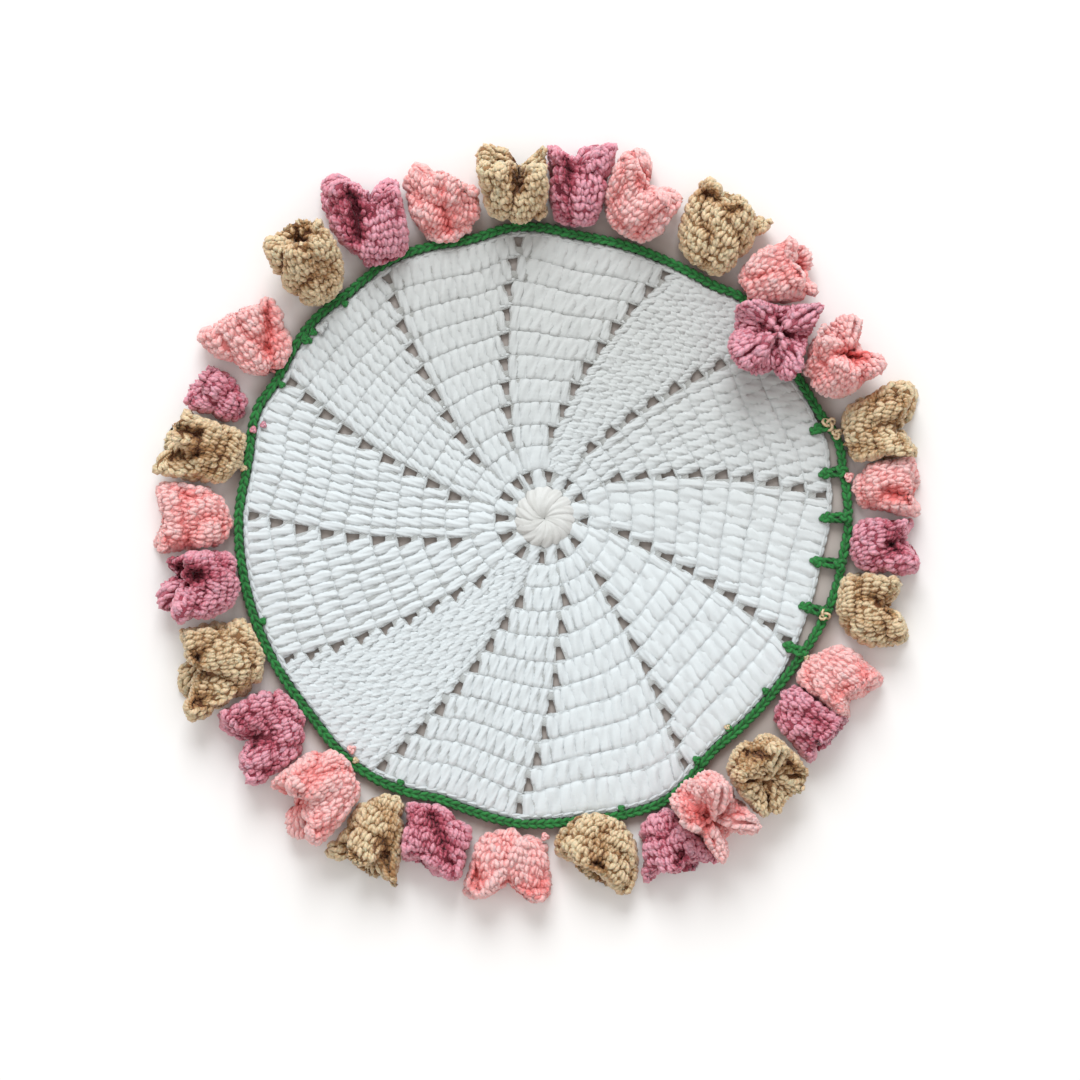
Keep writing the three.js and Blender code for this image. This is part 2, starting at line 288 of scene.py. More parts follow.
def strands(lines, wide, high, outward, level, corners=6, plies=1.4, tone_spread=0.5, lay=None, twist=0.0,
            painted_relief=0.5):
    """Yarn laid along lines (strand, step, xyz): half width, half height, the way up and how light it is
    painted.
    lay gives the fullness at each corner of a rope whose strands are wound round each other by twist."""
    if lay is not None:
        corners = len(lay)
    count, steps = lines.shape[:2]
    along = unit(np.gradient(lines, axis=1))
    side = unit(np.cross(outward, along))
    rise = np.cross(along, side)
    wide, high, level, twist = (
        np.broadcast_to(value, (count, steps))[..., None] for value in (wide, high, level, twist)
    )
    turn = 2 * np.pi * np.arange(corners) / corners + np.pi / 2 + 2 * np.pi * twist
    full = np.ones(corners) if lay is None else np.asarray(lay)
    ring = (lines[:, :, None] + side[:, :, None] * (wide * full * np.cos(turn))[..., None]
            + rise[:, :, None] * (high * full * np.sin(turn))[..., None])
    # Painted light and shade: the tops of the strands lighter, their undersides and the furrows of a rope
    # darker.
    light_and_shade = level + painted_relief * np.sin(turn) + LAY_PAINTED_SHADE * (full - 1)
    quads = quads_of((count, steps, corners))[..., [0, 3, 2, 1]].reshape(-1, 4)
    length = np.cumsum(np.linalg.norm(np.diff(lines, axis=1, prepend=lines[:, :1]), axis=2), axis=1)
    length = (length / plies + chance.random((count, 1)))[..., None]
    here = np.arange(corners) / corners
    after = here + 1 / corners
    uv = np.stack([np.stack(np.broadcast_arrays(u, v), axis=-1) for u, v in (
        (length[:, :-1], here), (length[:, :-1], after), (length[:, 1:], after), (length[:, 1:], here),
    )], axis=-2).reshape(-1, 4, 2)
    tone = 0.5 + jitter(tone_spread, (count, 1, 1))
    return {
        "points": ring.reshape(-1, 3), "faces": triangles_of(quads), "uv": triangles_of(uv).reshape(-1, 2),
        "light_and_shade": np.clip(light_and_shade, 0, 1).ravel(), "tone": np.broadcast_to(tone, light_and_shade.shape).ravel(),
    }


YARN_DEPTH = 0.76  # the colours are named as they look in this bright light, so the yarn itself is deeper
COTTON = {"roughness": 0.85, "sheen": 0.3, "ply_depth": 0.18, "ply_share": 0.28, "ply_run": 0.3,
          "plies_round": 8}


def linear(level, depth):
    share = level / 255
    return depth * (share / 12.92 if share <= 0.04045 else ((share + 0.055) / 1.055) ** 2.4)


def new_material(name):
    material = bpy.data.materials.new(name)
    material.use_nodes = True
    return material, material.node_tree.nodes["Principled BSDF"]


def set_inputs(material, node, inputs):
    """Gives a shader node's inputs their values, or joins them to the sockets of other nodes."""
    for key, value in inputs.items():
        if isinstance(value, bpy.types.NodeSocket):
            material.node_tree.links.new(value, node.inputs[key])
        else:
            node.inputs[key].default_value = value


def add_node(material, kind, inputs=None, **settings):
    made = material.node_tree.nodes.new("ShaderNode" + kind)
    for key, value in settings.items():
        setattr(made, key, value)
    set_inputs(material, made, inputs or {})
    return made


def yarn(name, deep, middle, high, roughness, sheen, ply_depth, speckle, ply_share=0.5, ply_run=1.0,
         plies_round=2, depth=YARN_DEPTH):
    """A twisted yarn with plies and loose fibres: deep is painted shade between its strands, high painted
    light on their crests.
    """
    material, shader = new_material(name)

    def reckon(kind, a, b):
        return add_node(material, "Math", {0: a, 1: b}, operation=kind).outputs[0]

    light_and_shade, tone = (
        add_node(material, "Attribute", attribute_name=key).outputs["Fac"] for key in ("light_and_shade", "tone")
    )
    place = add_node(material, "TexCoord").outputs["Object"]
    cloud = add_node(material, "TexNoise", {"Scale": 170.0, "Detail": 3.0, "Vector": place})
    strand = add_node(material, "UVMap", uv_map="strand").outputs[0]
    parts = add_node(material, "SeparateXYZ", {0: strand})
    spiral = reckon("ADD", reckon("MULTIPLY", parts.outputs[0], ply_run),
                    reckon("MULTIPLY", parts.outputs[1], plies_round))
    ply = reckon("SINE", reckon("MULTIPLY", spiral, 2 * math.pi), 0.0)
    drawn_out = add_node(material, "Mapping", {"Scale": (3.0, 14.0, 1.0), "Vector": strand})
    fibre = add_node(material, "TexNoise", {"Scale": 2.0, "Detail": 3.0, "Vector": drawn_out.outputs[0]})

    shift = reckon("MULTIPLY", reckon("SUBTRACT", cloud.outputs["Fac"], 0.5), speckle)
    shift = reckon("ADD", shift, reckon("MULTIPLY", reckon("SUBTRACT", tone, 0.5), 0.5))
    # Painted shade along the plies: the colour darkens in the furrows between them.
    shift = reckon("ADD", shift, reckon("MULTIPLY", ply, 0.2 * ply_share))
    # The ramp paints shade and light: the deep colour where a strand is shaded, the high colour where it is
    # lit.
    ramp = add_node(material, "ValToRGB", {"Fac": reckon("ADD", light_and_shade, shift)})
    stops = ramp.color_ramp.elements
    for stop, (position, colour) in enumerate(((0.05, deep), (0.5, middle), (0.98, high))):
        element = stops[stop] if stop < 2 else stops.new(position)
        element.position = position
        element.color = (*[linear(c, depth) for c in colour], 1)
    height = reckon("ADD", reckon("MULTIPLY", ply, ply_share), reckon("MULTIPLY", fibre.outputs["Fac"], 0.8))
    bump = add_node(material, "Bump", {"Strength": 0.8, "Distance": ply_depth * MM, "Height": height})
    set_inputs(material, shader, {
        "Roughness": roughness, "Sheen Weight": sheen, "Sheen Roughness": 0.5, "Specular IOR Level": 0.25,
        "Base Color": ramp.outputs["Color"], "Normal": bump.outputs["Normal"],
    })
    return material


def blended(material, value, start, end, colours, blend_type):
    """Blends two colours as value runs smoothly from start to end."""
    share = add_node(material, "MapRange", {"From Min": start, "From Max": end, "Value": value},
                     interpolation_type="SMOOTHSTEP")
    mix = add_node(material, "Mix", {"Factor": share.outputs["Result"], "A": colours[0], "B": colours[1]},
                   data_type="RGBA", blend_type=blend_type)
    return mix.outputs["Result"]


def shaded_toward(material, way, start, end, tint):
    """Paints shade into the yarn: a little darker and warmer along way, from start to end in millimetres."""
    shader = material.node_tree.nodes["Principled BSDF"]
    plain = shader.inputs["Base Color"].links[0].from_socket
    place = add_node(material, "TexCoord").outputs["Object"]
    along = add_node(material, "VectorMath", {0: place, 1: way}, operation="DOT_PRODUCT")
    shaded = blended(material, along.outputs["Value"], start * MM, end * MM, (plain, (*tint, 1)), "MULTIPLY")
    set_inputs(material, shader, {"Base Color": shaded})


WHITE_YARN = yarn("white_cotton", (196, 202, 203), (223, 230, 233), (237, 245, 248), speckle=0.35, **COTTON)
# The ground's cotton is a greyer copy of the white: painted shade between the posts, deep grey-brown below.
GROUND_SHADE_YARN = yarn("white_cotton_shaded", (120, 115, 108), (204, 209, 209), (214, 219, 219),
                   roughness=0.9, sheen=0.2, ply_depth=0.1, speckle=0.3)
# Painted shade: the mat's cotton darkens and warms towards the top, where the flowers shade it.
for cotton in (WHITE_YARN, GROUND_SHADE_YARN):
    shaded_toward(cotton, way=(0.3, 0.95, 0), start=-20, end=70, tint=(0.82, 0.79, 0.76))

ground = []
for k in range(2, LAST_ROUND + 1):
    points, quads = thickened(*ground_of_round(k), GROUND_LOWER, GROUND_UPPER)
    # Painted shade: the ground's underside and lower walls take the deep grey-brown, so the table in an
    # eyelet looks dark.
    ground.append(plain_bundle(points, quads, np.where(points[:, 2] > MID_HEIGHT, 0.5, 0.1)))
hub_bearings = np.arange(HUB_STEPS) * 360.0 / HUB_STEPS
hub = np.stack([round_edge(1, hub_bearings) * share + round_centre(1) * (1 - share) for share in HUB_SHARES])
hub_quads = quads_of(hub.shape[:2]).reshape(-1, 4)
ground.append(plain_bundle(*thickened(hub.reshape(-1, 2), hub_quads, GROUND_LOWER, GROUND_UPPER), 0.5))
mat_ground = make_piece("mat_ground", ground, GROUND_SHADE_YARN)
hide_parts("mat")

# The posts of the double crochet stand side by side in each round, plump ropes of three strands wound
# round each other, so close that they press together. Some fields are worked looser, and their posts show
# as slanting grains; others are so close that only a fine rib is left of each post.
POST_FROM, POST_TO = -0.03, 0.99  # the rounds a post starts and ends at, counted from the edge below it
POST_RUN = [0.0, 0.05, 0.18, 0.38, 0.60, 0.80, 0.95, 1.0]
HALF_THICKNESS = 1.17
POST_LAY = [0.76, 0.96, 1.04, 0.96] * 3
POST_END, POST_BELLY = 0.55, 0.45  # the fullness at a post's ends, and what it gains between them
# How light a post is painted, and how much painted shade darkens its ends.
POST_LEVEL, END_PAINTED_SHADE = 0.60, 0.45
SPARE_FULLNESS = 0.56  # of the posts beside an eyelet, and of those in the first round of posts
POST_UNLIKE = {"turn": 0.3, "lean": 0.65, "size": 0.16, "fullness": 0.20, "height": 0.09}
FIELD_LOOKS = [  # lean of a post's top in mm, turns of its strands, turn it starts at, fullness, grains
    (0.1, 0.35, 0.10, 0.92, 1), (1.5, 0.50, 0.30, 1.00, 2), (0.3, 0.50, 0.20, 0.84, 1),
    (0.1, 0.25, 0.00, 1.00, 1), (0.2, 0.25, 0.05, 1.05, 1), (0.1, 0.30, 0.10, 0.88, 1),
    (-0.2, 0.40, 0.10, 0.70, 1), (-1.3, 0.55, 0.25, 0.88, 2), (-0.4, 0.35, 0.20, 0.63, 1),
    (0.0, 0.35, 0.10, 0.68, 1), (0.3, 0.50, 0.25, 0.82, 1), (0.2, 0.40, 0.15, 0.88, 1),
]
GRAIN_RUNS = [(-0.05, 0.60), (0.43, 1.05)]


def post_lines(k):
    """Base, top, pitch and looks of every post in round k."""
    arms, count, _ = round_fields(k)
    ends = []
    for share, from_below in ((0.0, POST_FROM), (1.0, POST_TO)):
        bounds_ = stitch_bounds(k, share)
        middles = 0.5 * (bounds_[:, :-1] + bounds_[:, 1:])
        ends.append(round_edge(k - 1 + from_below, middles))
    base, top = ends
    pitch = np.linalg.norm(round_edge(k, bounds_[:, 1:]) - round_edge(k, bounds_[:, :-1]), axis=2)
    looks = np.resize(FIELD_LOOKS, (len(arms), len(FIELD_LOOKS[0])))
    if k == 2:
        looks[:, 3:] = SPARE_FULLNESS, 1
    looks = np.repeat(looks[:, None], count, axis=1)
    looks[:, [0, -1], 3] = np.minimum(looks[:, [0, -1], 3], SPARE_FULLNESS)
    looks = looks.reshape(-1, looks.shape[2])
    return base.reshape(-1, 2), top.reshape(-1, 2), pitch.ravel(), looks


def posts(base, top, pitch, looks):
    """Ropes from base to top, as full as the looks of their field say for their pitch."""
    count = len(base)
    run = top - base
    ahead = unit(run)
    aside = np.column_stack([ahead[:, 1], -ahead[:, 0]])
    lean, turns, first_turn, fullness, grains = (looks[:, c:c + 1] for c in range(looks.shape[1]))
    s = np.array(POST_RUN)
    belly = (1 - np.abs(2 * s - 1) ** 6) ** 0.5
    twist = first_turn + jitter(POST_UNLIKE["turn"], (count, 1)) + turns * s
    lean = lean + jitter(POST_UNLIKE["lean"], (count, 1))
    size = 1 + jitter(POST_UNLIKE["size"], (count, 1))
    uneven = 1 + jitter(POST_UNLIKE["fullness"], (count, len(s)))
    sideways = (lean * (s ** 1.3 - 0.5 * (grains - 1)))[..., None]
    plan = base[:, None] + run[:, None] * s[:, None] + aside[:, None] * sideways
    lines = raised(plan, MID_HEIGHT + jitter(POST_UNLIKE["height"], (count, 1)))
    thick = (POST_END + POST_BELLY * belly) * size * uneven
    # Painted shade: a post is drawn darker towards its ends, less so where it is parted into grains.
    level = POST_LEVEL - END_PAINTED_SHADE * (1 - belly) / grains
    return strands(lines, fullness * pitch[:, None] * thick, HALF_THICKNESS * thick, UP, level,
                   lay=POST_LAY, twist=twist)


def posts_and_grains(base, top, pitch, looks):
    """Posts in one piece where the field is close, and parted into grains where it is loose."""
    loose = looks[:, 4] > 1
    made = [posts(base[~loose], top[~loose], pitch[~loose], looks[~loose])]
    for start, end in GRAIN_RUNS if loose.any() else ():
        run = (top - base)[loose]
        made.append(posts(base[loose] + start * run, base[loose] + end * run, pitch[loose], looks[loose]))
    return made


# Each round ends in a chain of top loops, two thin legs a stitch, that the next round is worked into. It
# lies in the groove between two rounds; in the close fields it stands up as a fine white ridge.
CHAIN_LEG = {  # along the stitch, how far open the leg is, how far it dives and how full it is
    "along": [-0.32, 0.0, 0.35, 0.68, 0.95, 1.18],
    "open": [0.02, 0.22, 0.58, 0.88, 1.00, 0.80],
    "dive": [1.0, 0.35, 0.0, 0.0, 0.45, 1.1],
    "swell": [0.45, 0.85, 1.0, 1.0, 0.9, 0.45],
}
LOOP_HEIGHTS = [1.35, 1.35, 1.45, 1.5, 1.55, 1.5, 1.4, 1.35, 1.35, 1.35, 1.35, 1.35]
LEG_STRAY, LEG_UNLIKE = 0.14, 0.2  # how far legs lie off their line, by the width, and differ in fullness
DIVE_PAINTED_SHADE = 0.7


def columns_at(table, s, *names):
    return [np.interp(s, table["along"], table[name]) for name in names]


def chain(path, outward, width, thick, level=0.6, sag=0.45, steps=8, corners=6, painted_relief=0.5):
    """Chain stitches along path (stitch bound, xyz): two legs a stitch that open to width and dive."""
    start, end = path[:-1], path[1:]
    s = np.linspace(CHAIN_LEG["along"][0], CHAIN_LEG["along"][-1], steps)
    open_, dive, swell = columns_at(CHAIN_LEG, s, "open", "dive", "swell")
    run = end - start
    up = np.broadcast_to(outward, path.shape)[:-1]
    side = unit(np.cross(up, unit(run)))
    lines = []
    for leg in (-1, 1):
        lines.append(start[:, None] + run[:, None] * s[:, None]
                     + leg * side[:, None] * (width * open_)[:, None] - up[:, None] * (sag * dive)[:, None])
    lines = np.concatenate(lines)
    lines += jitter(LEG_STRAY * width, (len(lines), 1, 3))
    swell = thick * swell * (1 + jitter(LEG_UNLIKE, (len(lines), 1)))
    ups = np.broadcast_to(np.concatenate([up, up])[:, None], lines.shape)
    # Painted shade: the legs grow darker where they dive.
    level = level - DIVE_PAINTED_SHADE * painted_relief * dive
    return strands(lines, swell, swell, ups, level, corners=corners, painted_relief=painted_relief)


def top_loops(k):
    """The chain at the top of round k, at the height that suits each field."""
    bounds_ = stitch_bounds(k, 1.0)
    heights = np.repeat(np.resize(LOOP_HEIGHTS, len(bounds_)), bounds_.shape[1])
    path = raised(round_edge(k + 0.01, bounds_.ravel()), heights)
    return chain(np.concatenate([path, path[:1]]), UP, width=0.26, thick=0.56, level=0.66, sag=0.2,
                 steps=5, corners=4, painted_relief=0.25)


for k in range(2, LAST_ROUND + 1):
    parts = posts_and_grains(*post_lines(k))
    if k < LAST_ROUND:
        parts.append(top_loops(k))
    piece = make_piece(f"mat_round_{k:02d}", parts, WHITE_YARN)
    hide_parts("mat")

# A single chain stitch bridges the outer end of every eyelet, plump and pulled a little askew. The last
# round is closed by a chain of its own, with two stray ends. All are of the same white cotton.
BRIDGE_RUN = [0.0, 0.2, 0.5, 0.8, 1.0]
BRIDGE_SWELL = [0.7, 0.95, 1.0, 0.95, 0.7]
BRIDGE_HALF_WIDTH, BRIDGE_HALF_HEIGHT = 1.0, 0.85
BRIDGE_OUT = 0.05  # a bridge lies this part of a round outside the round's edge
BRIDGE_ASKEW = 0.03
BRIDGE_OVERLAP = 0.7
bridge_lines = []
for k in range(2, LAST_ROUND + 1):
    if round_fields(k)[2] == 0:
        continue
    bounds_ = stitch_bounds(k, 1.0)
    askew = jitter(BRIDGE_ASKEW, 2)
    left = round_edge(k + BRIDGE_OUT + askew[0], bounds_[:, 0])
    right = round_edge(k + BRIDGE_OUT + askew[1], np.roll(bounds_[:, -1], 1))
    overlap = BRIDGE_OVERLAP * unit(right - left)
    s = np.array(BRIDGE_RUN)[None, :, None]
    plan = (left - overlap)[:, None] * (1 - s) + (right + overlap)[:, None] * s
    bridge_lines.append(raised(plan, MID_HEIGHT))
bridge_lines = np.concatenate(bridge_lines)
bridge_swell = np.array(BRIDGE_SWELL) * (1 + jitter(0.2, (len(bridge_lines), 1)))
bridge_twist = 0.5 * np.array(BRIDGE_RUN) + chance.random((len(bridge_lines), 1))
bridges = strands(bridge_lines, BRIDGE_HALF_WIDTH * bridge_swell, BRIDGE_HALF_HEIGHT * bridge_swell, UP, 0.5,
                  lay=POST_LAY, twist=bridge_twist)
eyelet_bars = make_piece("mat_eyelet_chains", [bridges], WHITE_YARN)
RIM_STITCHES = 168
RIM_INSET = 0.2
RIM_HEIGHT = 1.45
RIM_LEAN = (0.55, 0.85)  # the rim chain faces this much outward and this much up
WHITE_ENDS = [(138.2, 3.4, 0.8), (137.0, 2.6, 0.6)]  # bearing, size and yarn of a stray end's knot, in mm
WHITE_END_INSET = 1.4
WHITE_END_HEIGHT = 2.7
rim_bearings = np.linspace(0, 360, RIM_STITCHES + 1)
rim_plan = on_plan(rim_bearings, mat_radius_at(rim_bearings) - RIM_INSET)
rim_path = raised(rim_plan, RIM_HEIGHT)


def knot(plan, height, size, thick):
    """A small overhand knot of yarn, size across, turned any way."""
    turn = np.linspace(0, 2 * np.pi, 22)
    loop = np.column_stack([np.sin(turn) + 2 * np.sin(2 * turn), np.cos(turn) - 2 * np.cos(2 * turn),
                            -1.2 * np.sin(3 * turn)]) / 6
    angle = 2 * np.pi * chance.random()
    cos, sin = math.cos(angle), math.sin(angle)
    turned = np.array([[cos, sin, 0], [-sin, cos, 0], [0, 0, 1.0]])
    line = (np.array([*plan, height]) + (size - 2 * thick) * loop @ turned)[None]
    return strands(line, thick, thick, UP, 0.5, tone_spread=0.2)


white_ends = [
    knot(on_plan(bearing, mat_radius_at(bearing) - WHITE_END_INSET), WHITE_END_HEIGHT, size, thick)
    for bearing, size, thick in WHITE_ENDS
]
rim_up = raised(RIM_LEAN[0] * heading_of(rim_bearings), RIM_LEAN[1])
rim_stitches = chain(rim_path, rim_up, width=0.4, thick=0.62)
rim_chain = make_piece("mat_rim_chain", [rim_stitches, *white_ends], WHITE_YARN)
for piece in (eyelet_bars, rim_chain):
    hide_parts("mat")

# The knob in the middle is a popcorn: a bunch of fat loops drawn together at one point, so that it
# swells up in lobes round a dimple. It is of the same white cotton, drawn in a greyer, warmer copy as painted
# shade.
KNOB_CENTRE = np.array([-0.1, -1.4])
KNOB_DIMPLE = np.array([-0.2, -2.1])
KNOB_LOBES = 17
KNOB_TURN = 14
KNOB_SWIRL = 24.0
KNOB_REACH = 8.7
DIMPLE_REACH = 0.5
LOBE_LAY = [0.90, 0.98, 1.02, 0.98] * 4
LOBE_STEPS = 14
LOBE_ROUTE = {  # along the lobe, its height, and its half width and half height
    "along": [0.00, 0.15, 0.35, 0.60, 0.82, 1.00],
    "height": [1.3, 1.9, 2.6, 2.95, 2.7, 2.0],
    "wide": [1.5, 2.2, 2.3, 2.0, 1.3, 0.6],
    "thick": [0.9, 1.25, 1.4, 1.35, 1.1, 0.8],
}
LOBE_UNLIKE = {"bearing": 10, "reach": 0.7, "bow": 7, "height": 0.25, "size": 0.15}
knob_lobes = []
for lobe in range(KNOB_LOBES):
    bearing = 360.0 * lobe / KNOB_LOBES + KNOB_TURN + jitter(LOBE_UNLIKE["bearing"])
    reach = KNOB_REACH + jitter(LOBE_UNLIKE["reach"])
    s = np.linspace(0, 1, LOBE_STEPS)
    height, wide, thick = columns_at(LOBE_ROUTE, s, "height", "wide", "thick")
    fan = heading_of(bearing + KNOB_SWIRL * s - np.sin(np.pi * s) * jitter(LOBE_UNLIKE["bow"]))
    outer = KNOB_CENTRE + fan * reach
    inner = KNOB_DIMPLE + fan * DIMPLE_REACH
    plan = outer * (1 - s[:, None]) + inner * s[:, None]
    line = raised(plan, height + jitter(LOBE_UNLIKE["height"]))[None]
    size = 1 + jitter(LOBE_UNLIKE["size"])
    # Painted shade: each lobe grows darker towards the dimple.
    knob_lobes.append(strands(line, size * wide[None], thick[None], UP, 0.5 - 0.25 * s ** 3, lay=LOBE_LAY,
                              twist=0.3 * s[None] + chance.random()))
# A greyer, warmer copy of the white cotton: painted shade over the whole knob.
KNOB_SHADED_YARN = yarn("white_cotton_knob_shaded", (176, 172, 164), (212, 213, 209), (234, 236, 234),
                 speckle=0.5, **COTTON)
knob = make_piece("mat_knob", knob_lobes, KNOB_SHADED_YARN)
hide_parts("mat")

# The green edging is a chain of slip stitches in a firm cotton cord, laid right round the mat's rim.
# From above it is a braid of nested V shapes; the same shapes show below. Short chains tie it in.
GREEN_YARN = yarn("green_cotton", (4, 34, 10), (20, 92, 36), (44, 142, 66),
                  roughness=0.7, sheen=0.25, ply_depth=0.14, speckle=0.4)
EDGING_STITCHES = 230
BRAID_DEPTH = 0.78  # the braids lie this far in from the cord's top and underside
CORE_HALF_SIZES = (0.95, 0.9)
edge_bearings = np.linspace(0, 360, EDGING_STITCHES + 1)
edge_plan = on_plan(edge_bearings, cord_radius_at(edge_bearings))
edging_parts = []
for height, way in ((2 * CORD_RADIUS - BRAID_DEPTH, 1.0), (BRAID_DEPTH, -1.0)):
    edging_parts.append(chain(raised(edge_plan, height), [0.0, 0.0, way], width=0.98, thick=0.70, level=0.5,
                              sag=0.7, steps=6, corners=5))
# A core painted in deep green: painted shade between the braids.
edging_parts.append(strands(raised(edge_plan, CORD_RADIUS)[None], *CORE_HALF_SIZES, UP, 0.0))

# Six ties hold the mat where its rim stands off from the cord: two strands from the cord that meet in a
# knot over the rim. Elsewhere the cord's own stitches bite over the rim, and show as small green knots.
TIE_BEARINGS = [19.3, 10.4, 1.6, 352.7, 343.0, 334.1]
TIE_SPREAD = 0.75
TIE_STEPS = 7
TIE_INSET = 1.0
TIE_BOW = 0.5
TIE_HALF_SIZES = (0.9, 0.75)
TIE_LAYERS = [(2.3, 0.5), (1.2, -0.3)]  # height of the strands over and under the rim, and how they arch
TIE_YARN, BITE_YARN = 0.65, 0.55
BITE_INSET, BITE_HEIGHT = 0.2, 2.6
GREEN_KNOTS = [  # bearing, and size in mm
    (-36.3, 2.8), (-47.1, 2.8), (-56.3, 3.2), (-74.1, 2.6), (-118.7, 2.8), (198.9, 2.8), (151.4, 2.6),
    (141.5, 3.6), (139.6, 3.0), (131.4, 2.6),
]

for bearing in TIE_BEARINGS:
    cord_at, rim_at = cord_radius_at(bearing), mat_radius_at(bearing) - TIE_INSET
    end = on_plan(bearing, rim_at)
    spread = np.degrees(TIE_SPREAD / cord_at)
    s = np.linspace(0, 1, TIE_STEPS)[:, None]
    arch = np.sin(np.pi * s)
    for side in (-1, 1):
        start = on_plan(bearing + side * spread, cord_at - 0.3)
        bow = TIE_BOW * side * arch * heading_of(bearing + 90)
        for height, rise in TIE_LAYERS:
            line = np.hstack([start * (1 - s) + end * s + bow, height + rise * arch])[None]
            edging_parts.append(strands(line, *TIE_HALF_SIZES, UP, 0.5, lay=POST_LAY, twist=s.T))
    knots = ((rim_at + 0.5, 2.5, 4.2), (cord_at - 0.6, 3.0, 4.6), (rim_at - 0.9, 2.3, 3.0))
    for radius, height, size in knots:
        edging_parts.append(knot(on_plan(bearing, radius), height, size, TIE_YARN))
for bearing, size in GREEN_KNOTS:
    on_rim = on_plan(bearing, mat_radius_at(bearing) - BITE_INSET)
    edging_parts.append(knot(on_rim, BITE_HEIGHT, size, BITE_YARN))
edging = make_piece("edging_stitches", edging_parts, GREEN_YARN)
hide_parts("edging")

# Each of the thirty-one tulips is a small cup of single crochet in shiny soft yarn. Its mouth is pinched
# together at the middle into four folded lobes, and its foot is tied to the cord.
OVER_CORD = 2 * CORD_RADIUS + GAP
FLOWER_FOOT_HEIGHT = 3.0
FLOWER_MIDDLE = 0.55
TAPER_TO_FOOT = 1.5
NOTCH_DEPTH = 0.42
PRESS_DEPTH = 3.0
FLOOR_PRESS_DEPTH = 2.5
TULIP_ROUNDS = [  # along the tulip, share of its full width: from the mouth's middle over the lip
    (0.80, 0), (0.93, 0.50), (1.00, 0.90), (0.92, 1.00), (0.66, 0.96), (0.38, 0.86), (0.12, 0.62), (0, 0),
]
LOBE_ROUNDNESS = 2.0
# In degrees: the bearing of the foot on the cord, the swing off straight outward, the lift off the table
# and the roll about the tulip's own axis. Pinch folds the mouth in, flatness is the thickness by the width,
# and over is how far the foot lies in over the cord, or out from it where it is below 0.
TULIP_SIZES = ("yarn", "bearing", "swing", "lift", "roll", "length", "width", "pinch", "flatness", "over")
TULIPS = [dict(zip(TULIP_SIZES, row)) for row in [
    ("pink", 6.8, -5, 12, 20, 19, 20, 0.15, 0.72, 0),
    ("tan", 17.6, -16, 10, 45, 21, 33, 0.45, 0.56, -0.3),
    ("pink", 27.4, 22, 48, 22, 20, 26, 0.40, 0.84, -3),
    ("mauve", 39.2, 0, 84, -5, 13, 33, 0.55, 0.97, 2.4),
    ("pink", 50, -30, 25, 20, 22, 20, 0.22, 0.80, 0),
    ("tan", 59, -4, 10, 8, 24, 28, 0.28, 0.60, 0),
    ("pink", 77, -33, 24, 42, 20, 30, 0.45, 0.60, -3),
    ("mauve", 82.7, 10, 12, 58, 24, 29, 0.40, 0.62, 0),
    ("tan", 94, -4, 32, 45, 21, 30, 0.42, 0.72, 0),
    ("pink", 111.5, -42, 9, 5, 20, 26, 0.22, 0.58, 0),
    ("mauve", 123.5, -34, 14, 50, 25, 32, 0.50, 0.60, 0),
    ("tan", 134.2, -24, 34, 0, 26, 21, 0.12, 0.84, 0),
    ("pink", 151.5, -34, 10, 0, 22, 26, 0.05, 0.56, 0),
    ("mauve", 159.5, -14, 8, 20, 18, 15, 0.26, 0.80, -0.3),
    ("tan", 168, -13, 10, 8, 22, 29, 0.40, 0.60, 0),
    ("pink", 179, 1, 8, 45, 22, 26, 0.18, 0.58, 0),
    ("mauve", 190.5, -12, 32, 30, 22, 26, 0.38, 0.76, 0),
    ("tan", 205.5, -21, 12, 20, 24, 34, 0.46, 0.56, 0),
    ("mauve", 219, -17, 10, 45, 22, 31, 0.56, 0.54, 0),
    ("pink", 233.2, -27, 26, 30, 23, 29, 0.38, 0.70, 0),
    ("tan", 242.2, 1, 12, 10, 24, 26, 0.40, 0.62, 0),
    ("mauve", 250.3, -1, 10, 45, 19, 33, 0.22, 0.54, 0),
    ("pink", 265, -2, 8, 45, 20, 31, 0.46, 0.54, 0),
    ("tan", 285, -48, 10, 10, 18, 28, 0.14, 0.56, 0),
    ("mauve", 293.5, -8, 10, 5, 19, 25, 0.26, 0.62, 0),
    ("pink", 300, 5, 62, 55, 19, 30, 0.52, 0.92, -4),
    ("tan", 312.4, 0, 56, 45, 18, 25, 0.18, 0.92, -6),
    ("mauve", 325.2, -6, 8, 0, 20, 24, 0.08, 0.70, 0),
    ("pink", 333.2, -16, 16, 45, 20, 28, 0.32, 0.60, -0.2),
    ("tan", 344.6, 19, 9, 40, 19, 29, 0.36, 0.56, -0.3),
    ("mauve", 355, 18, 12, 45, 19, 23, 0.36, 0.66, 0),
]]
FLOWER_YARNS = {
    "pink": yarn("pink_acrylic", (226, 100, 96), (249, 148, 146), (253, 200, 198),
                 roughness=0.55, sheen=0.12, ply_depth=0.12, speckle=0.35, depth=0.87),
    "mauve": yarn("mauve_acrylic", (106, 18, 38), (190, 82, 102), (246, 176, 192),
                  roughness=0.5, sheen=0.12, ply_depth=0.12, speckle=0.5),
    "tan": yarn("tan_acrylic", (100, 52, 20), (186, 140, 92), (246, 222, 184),
                roughness=0.45, sheen=0.12, ply_depth=0.14, speckle=0.6),
}
for acrylic in FLOWER_YARNS.values():
    set_inputs(acrylic, acrylic.node_tree.nodes["Principled BSDF"], {
        "Subsurface Weight": 0.45, "Subsurface Radius": (0.9, 0.55, 0.48), "Subsurface Scale": 1.4 * MM,
    })


